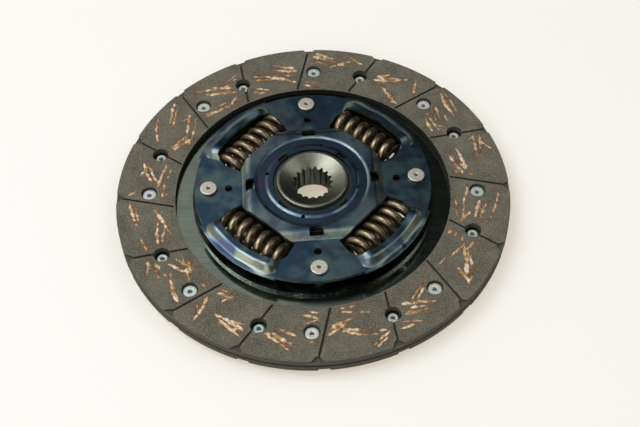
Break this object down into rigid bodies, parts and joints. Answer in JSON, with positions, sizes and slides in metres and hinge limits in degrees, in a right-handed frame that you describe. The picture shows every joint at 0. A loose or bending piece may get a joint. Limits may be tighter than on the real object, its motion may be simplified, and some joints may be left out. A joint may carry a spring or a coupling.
{
  "type": "clutch disc",
  "caption": "Single-plate dry clutch disc with grooved riveted friction facings, coil damper springs in pressed windows and a splined hub.",
  "frame": {"origin": "on the hub axis, in the middle of the facing pack, half way between the two friction faces", "axes": "+Z along the hub axis towards the retaining plate side; +X in the plane of the facings"},
  "size_m": [0.2, 0.2, 0.0228],
  "materials": {
    "friction_lining": "speckled woven friction compound with copper-coloured yarn",
    "rivet_steel": "zinc plated",
    "spring_steel": "polished dark",
    "tempered_steel": "blue temper colours",
    "pin_steel": "bright, riveted heads",
    "coil_steel": "bronze-brown heat tint",
    "forged_steel": "satin turned, phosphated",
    "moulded_resin": "moulded"
  },
  "bodies": {
    "disc": {"facing_front": "friction_lining", "facing_rear": "friction_lining", "front_facing_rivets": "rivet_steel", "rear_facing_rivets": "rivet_steel", "cushion_plate": "spring_steel", "disc_plate": "tempered_steel", "retaining_plate": "tempered_steel", "stop_pin_1": "pin_steel", "stop_pin_2": "pin_steel", "stop_pin_3": "pin_steel", "stop_pin_4": "pin_steel", "friction_washer_front": "moulded_resin", "thrust_washer": "spring_steel", "disc_spring": "spring_steel", "friction_washer_rear": "moulded_resin", "hub_bush": "moulded_resin"},
    "hub": {"hub": "forged_steel"},
    "springs": {"damper_spring_1": "coil_steel", "damper_spring_2": "coil_steel", "damper_spring_3": "coil_steel", "damper_spring_4": "coil_steel"}
  },
  "joints": [
    {"name": "hub_twist", "type": "hinge", "parent": "disc", "child": "hub", "pos_m": [0, 0, 0.00568], "axis": [0, 0, 1], "range_deg": [-8, 8], "stiffness_Nm_per_rad": 20, "deforming": ["damper_spring_1", "damper_spring_2", "damper_spring_3", "damper_spring_4"]},
    {"name": "springs_turn", "type": "hinge", "parent": "disc", "child": "springs", "pos_m": [0, 0, 0.00568], "axis": [0, 0, 1], "range_deg": [-4, 4]}
  ],
  "couplings": [
    {"joint": "springs_turn", "follows": "hub_twist", "ratio": 0.5}
  ]
}
